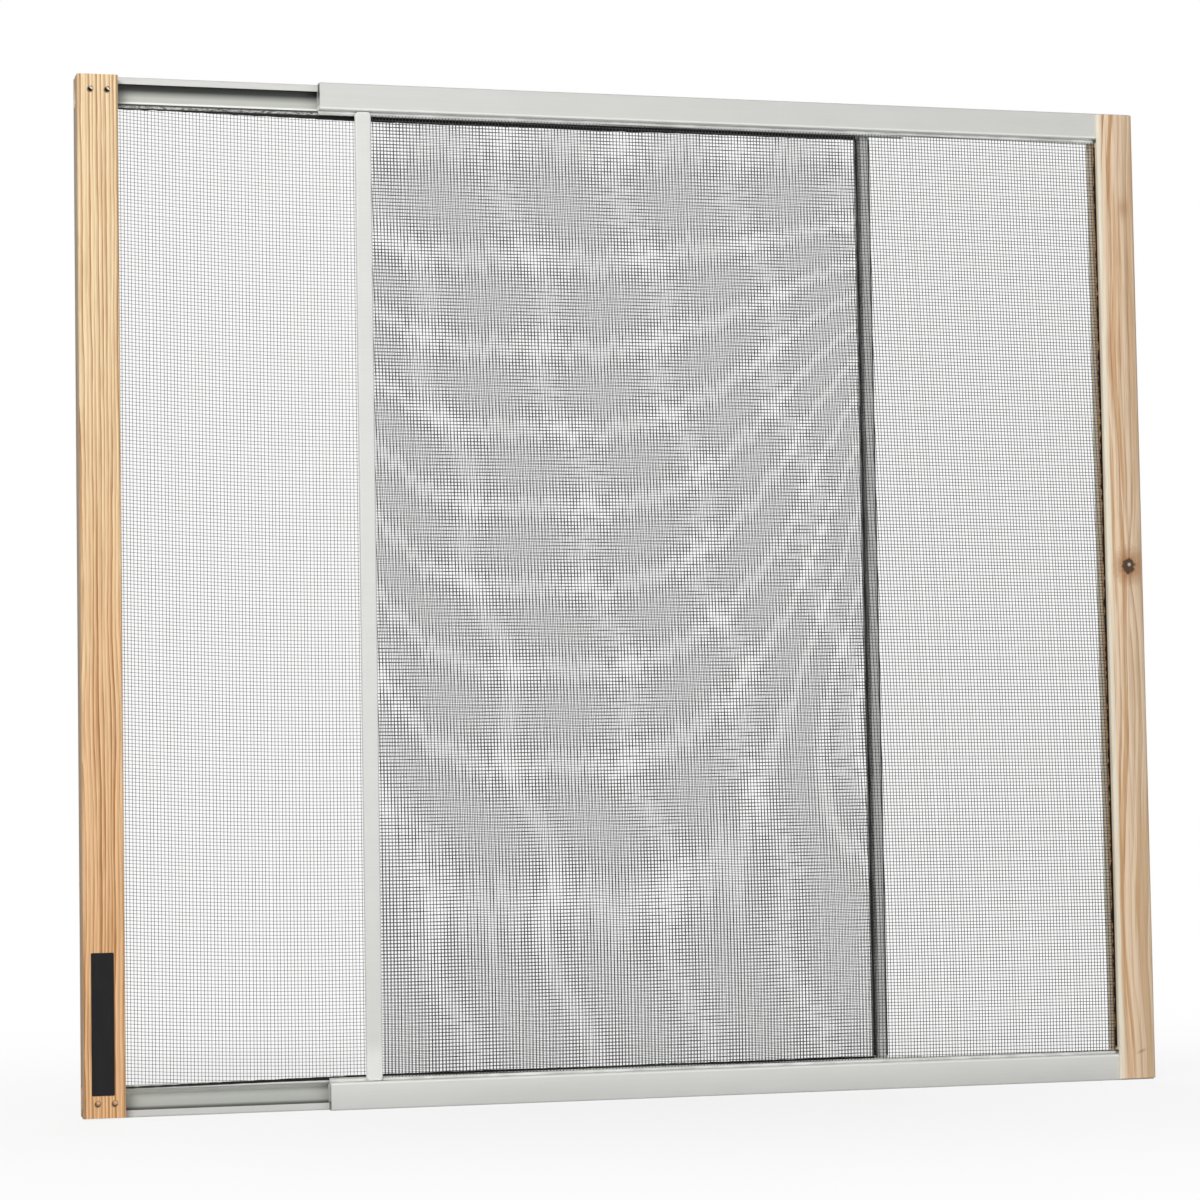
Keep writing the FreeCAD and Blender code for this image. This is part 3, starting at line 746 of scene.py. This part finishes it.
class SCREEN_OT_folds(bpy.types.Operator):
    """Tuck the edges of the mesh round the rear hems and into the kerfs"""

    bl_idname = "screen.folds"
    bl_label = "Yarn folds"

    FILM = 0.12 * MM
    HEM_INSET = 8.2 * MM
    HEM_FACE = 0.84 * MM
    FLAP_LEAD = 150 * MM
    KERF_DEPTH = 0.7 * MM
    KERF_PLACE = 4.3 * MM

    def execute(self, context):
        material = fold_finish()
        # Black, for the kerf fringes and for the rear stile's strips, which stand partly for painted shade.
        black = cord_finish("fringe", context.scene.screen_trim.cord, gloss=0.15)
        self.rear_hems(material)
        self.rear_stile(black)
        self.kerf_fringe(black, "front", "right", facing=-1, reach=1.4 * MM)
        self.kerf_fringe(black, "rear", "left", facing=1, reach=1.3 * MM)
        return {"FINISHED"}

    def hem_strip(self, bm, face, edge, width, **ways):
        """Add a strip along a rear hem, from near the wood stile to the metal stile."""
        left = corners("rear_screen_mesh")[0].x + self.HEM_INSET
        run = Vector((corners("rear_end_stile")[0].x - left, 0, 0))
        frayed_strip(bm, Vector((left, face, edge)), run, Vector((0, 0, width)), **ways)

    def rear_hems(self, material):
        """Strips on the front of the rear hems."""
        low, high = corners("rear_screen_mesh")
        bm = bmesh.new()
        self.hem_strip(bm, self.HEM_FACE, edge=high.z + 2.2 * MM, width=-3.4 * MM, wander=0.15)
        self.hem_strip(bm, self.HEM_FACE, edge=low.z - 0.2 * MM, width=-1.0 * MM, wander=0.2, sag=1.1)
        self.piece(bm, "rear_yarn_fold", "rear_half", material)

    def rear_stile(self, material):
        """Black strips along both edges of the rear metal stile, and flaps along the rear hems: in part
        tucked yarn, in part painted shade in the gaps there.
        """
        margin = 2 * MM
        low, high = corners("rear_screen_mesh")
        stile = corners("rear_end_stile")[0]
        foot = Vector((stile.x, stile.y - 0.13 * MM, low.z + margin))
        run = Vector((0, 0, high.z - low.z - 2 * margin))
        bm = bmesh.new()
        # Black strips that stand partly for painted shade in the gaps at the stile's edges.
        for place, width in ((1.7 * MM, 1.5 * MM), (9.6 * MM, 0.8 * MM)):
            frayed_strip(bm, foot + Vector((place, 0, 0)), run, Vector((-width, 0, 0)), wander=0.05)
        # Black flaps along the rear hems: painted shade in the gap between the halves, partly tucked yarn.
        shade_flap = {"wander": 0.12, "lead": self.FLAP_LEAD}
        self.hem_strip(bm, 0.71 * MM, edge=high.z - 0.4 * MM, width=-2.8 * MM, **shade_flap)
        self.hem_strip(bm, 0.59 * MM, edge=low.z - 0.8 * MM, width=2.5 * MM, **shade_flap)
        self.piece(bm, "rear_stile_fold_and_shade", "rear_half", material)

    def kerf_fringe(self, material, half, side, facing, reach):
        """Cut yarn ends that stand out of a wood stile's kerf."""
        margin = 3 * MM
        low, high = corners(side + "_wood_stile")
        mesh_low, mesh_high = corners(half + "_screen_mesh")
        edge, out = (low.x, -1) if side == "right" else (high.x, 1)
        foot = Vector((edge - out * self.KERF_DEPTH, facing * self.KERF_PLACE, mesh_low.z + margin))
        run = Vector((0, 0, mesh_high.z - mesh_low.z - 2 * margin))
        bm = bmesh.new()
        frayed_strip(bm, foot, run, Vector((out * reach, 0, 0)), wander=0.85)
        self.piece(bm, side + "_kerf_fringe", half + "_half", material)

    def piece(self, bm, name, body, material):
        """Give the strips their thickness and put them in the scene."""
        bmesh.ops.solidify(bm, geom=bm.faces[:], thickness=self.FILM)
        bmesh.ops.recalc_face_normals(bm, faces=bm.faces[:])
        mesh = bpy.data.meshes.new(name)
        bm.to_mesh(mesh)
        bm.free()
        new_piece(name, mesh, body, material)


class SCREEN_OT_splines(bpy.types.Operator):
    """Finish the spline cords"""

    bl_idname = "screen.splines"
    bl_label = "Spline cords"

    def execute(self, context):
        look = context.scene.screen_trim
        black = cord_finish("kerf_cord", look.cord)
        # The rail cords are lightened as a painted highlight.
        grey = cord_finish("rail_cord", look.rail_cord)
        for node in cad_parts:
            if node.endswith("_spline"):
                dress(node, black if "kerf" in node else grey)
        return {"FINISHED"}


class SCREEN_OT_nails(bpy.types.Operator):
    """Finish the nails"""

    bl_idname = "screen.nails"
    bl_label = "Nails"

    def execute(self, context):
        dress("left_stile_nails", nail_finish("left_stile_nails"))
        dress("right_stile_nails", nail_finish("right_stile_nails"))
        return {"FINISHED"}


class SCREEN_OT_strip(bpy.types.Operator):
    """Lay the plain strip on the left stile"""

    bl_idname = "screen.strip"
    bl_label = "Plain strip"

    CORNER_RADIUS = 0.6 * MM
    LEFT_OF_MIDDLE = 1.2 * MM
    MIDDLE_HEIGHT = 54.8 * MM

    def execute(self, context):
        look = context.scene.screen_trim
        low, high = corners("left_wood_stile")
        film = look.strip_film
        bm = bmesh.new()
        bmesh.ops.create_cube(bm, size=1.0)
        bmesh.ops.scale(bm, verts=bm.verts, vec=(look.strip_width, film, look.strip_height))
        upright = [edge for edge in bm.edges if abs(edge.verts[0].co.y - edge.verts[1].co.y) > film / 2]
        bmesh.ops.bevel(
            bm, geom=upright, offset=self.CORNER_RADIUS, affect="EDGES", segments=3, profile=0.5, material=-1
        )
        middle = (low.x + high.x) / 2 - self.LEFT_OF_MIDDLE
        place = Vector((middle, low.y - film / 2, self.MIDDLE_HEIGHT))
        bmesh.ops.translate(bm, verts=bm.verts, vec=place)
        mesh = bpy.data.meshes.new("plain_strip")
        bm.to_mesh(mesh)
        bm.free()
        new_piece("plain_strip", mesh, "rear_half", strip_finish())
        return {"FINISHED"}


def area_light(name, power, place, aim, size, colour):
    """Add a round lamp that looks at a point."""
    light = bpy.data.lights.new(name, "AREA")
    light.shape = "DISK"
    light.size = size
    light.energy = power
    light.color = colour
    lamp = bpy.data.objects.new(name, light)
    lamp.visible_camera = False
    lamp.location = place
    lamp.rotation_euler = (Vector(aim) - Vector(place)).to_track_quat("-Z", "Y").to_euler()
    bpy.context.scene.collection.objects.link(lamp)


def seen_directly(nodes):
    """One for rays that show the background: camera, glossy and transmission rays."""
    path = nodes.node("ShaderNodeLightPath", output="Is Camera Ray")
    outputs = path.socket.node.outputs
    glossy = Value(nodes, outputs["Is Glossy Ray"])
    through = Value(nodes, outputs["Is Transmission Ray"])
    return nodes.grey(path + glossy + through, 0.0, 1.0)


class SCREEN_OT_stage(bpy.types.Operator):
    """Set up the floor, the lights and the camera"""

    bl_idname = "screen.stage"
    bl_label = "Stage"

    def execute(self, context):
        scene = context.scene
        look = scene.screen_stage
        self.floor(scene, look)
        self.sky(scene, look)
        area_light(
            "key", look.key_power,
            place=(-1.15, -1.9, 1.3), aim=(-0.15, 0.0, 0.34), size=1.0, colour=(1.0, 0.985, 0.96),
        )
        area_light(
            "fill", look.fill_power,
            place=(0.8, -2.2, 0.1), aim=(0.15, 0.0, 0.1), size=1.4, colour=(0.97, 0.985, 1.0),
        )
        area_light(
            "back", look.back_power,
            place=(0.7, 2.3, 1.5), aim=(0.0, 0.0, 0.3), size=1.6, colour=(1.0, 1.0, 1.0),
        )
        self.camera(scene, look)
        scene.view_settings.view_transform = "Standard"
        return {"FINISHED"}

    def camera(self, scene, look):
        """The photograph's view."""
        camera = bpy.data.cameras.new("camera")
        camera.sensor_width = 36.0
        camera.lens = look.focal_length
        camera.clip_end = 50.0
        eye = bpy.data.objects.new("camera", camera)
        eye.location = CAMERA_PLACE
        eye.rotation_euler = Euler([math.radians(angle) for angle in CAMERA_TURN])
        scene.collection.objects.link(eye)
        scene.camera = eye

    def floor(self, scene, look):
        """White paper that keeps the screen's shadow round its foot."""
        shadow_reach = 500.0
        shadow_share = 0.2
        bm = bmesh.new()
        bmesh.ops.create_grid(bm, x_segments=1, y_segments=1, size=7.0)
        mesh = bpy.data.meshes.new("floor")
        bm.to_mesh(mesh)
        bm.free()
        floor = bpy.data.objects.new("floor", mesh)
        scene.collection.objects.link(floor)
        finish = Finish("floor")
        glow = finish.node("ShaderNodeEmission", None, {"Color": (1.0, 1.0, 1.0), "Strength": 1.0})
        x, y, _ = finish.millimetres()
        white = 1.0 - finish.spot(x / shadow_reach, y / shadow_reach) * shadow_share
        finish.done(Base_Color=look.floor, Roughness=0.9)
        mixed = finish.node(
            "ShaderNodeMixShader", None,
            {0: seen_directly(finish) * white, 1: Value(finish, finish.shader.outputs[0]), 2: glow},
        )
        finish.feed(finish.tree.nodes["Material Output"].inputs["Surface"], mixed)
        mesh.materials.append(finish.material)

    def sky(self, scene, look):
        """Even light all round, white where it is seen."""
        world = bpy.data.worlds.new("studio")
        world.use_nodes = True
        scene.world = world
        nodes = Nodes(world.node_tree)
        background = nodes.tree.nodes["Background"]
        nodes.feed(background.inputs["Color"], (1.0, 1.0, 1.0))
        nodes.feed(background.inputs["Strength"], seen_directly(nodes) * (1.0 - look.sky) + look.sky)


class SCREEN_PT_panel(bpy.types.Panel):
    """Lists the pieces of the screen"""

    bl_idname = "SCREEN_PT_panel"
    bl_label = "Window screen"
    bl_space_type = "VIEW_3D"
    bl_region_type = "UI"
    bl_category = "Screen"

    def draw(self, context):
        for operator in OPERATORS:
            self.layout.operator(operator.bl_idname)
        for name in SETTINGS:
            group = getattr(context.scene, name)
            box = self.layout.box()
            for key in group.bl_rna.properties.keys():
                if key not in {"rna_type", "name"}:
                    box.prop(group, key)


SETTINGS = {
    "screen_wood": ScreenWoodSettings,
    "screen_enamel": ScreenEnamelSettings,
    "screen_mesh": ScreenMeshSettings,
    "screen_trim": ScreenTrimSettings,
    "screen_stage": ScreenStageSettings,
}
OPERATORS = (
    SCREEN_OT_stage,
    SCREEN_OT_wood_stiles,
    SCREEN_OT_rails,
    SCREEN_OT_meshes,
    SCREEN_OT_folds,
    SCREEN_OT_splines,
    SCREEN_OT_nails,
    SCREEN_OT_strip,
)


def register():
    for name, group in SETTINGS.items():
        bpy.utils.register_class(group)
        setattr(bpy.types.Scene, name, PointerProperty(type=group))
    for operator in OPERATORS:
        bpy.utils.register_class(operator)
    bpy.utils.register_class(SCREEN_PT_panel)


def unregister():
    bpy.utils.unregister_class(SCREEN_PT_panel)
    for operator in reversed(OPERATORS):
        bpy.utils.unregister_class(operator)
    for name, group in SETTINGS.items():
        delattr(bpy.types.Scene, name)
        bpy.utils.unregister_class(group)


def main():
    register()
    bpy.ops.screen.stage()
    bpy.ops.screen.wood_stiles()
    bpy.ops.screen.rails()
    bpy.ops.screen.meshes()
    bpy.ops.screen.folds()
    bpy.ops.screen.splines()
    bpy.ops.screen.nails()
    bpy.ops.screen.strip()


if __name__ == "__main__":
    main()
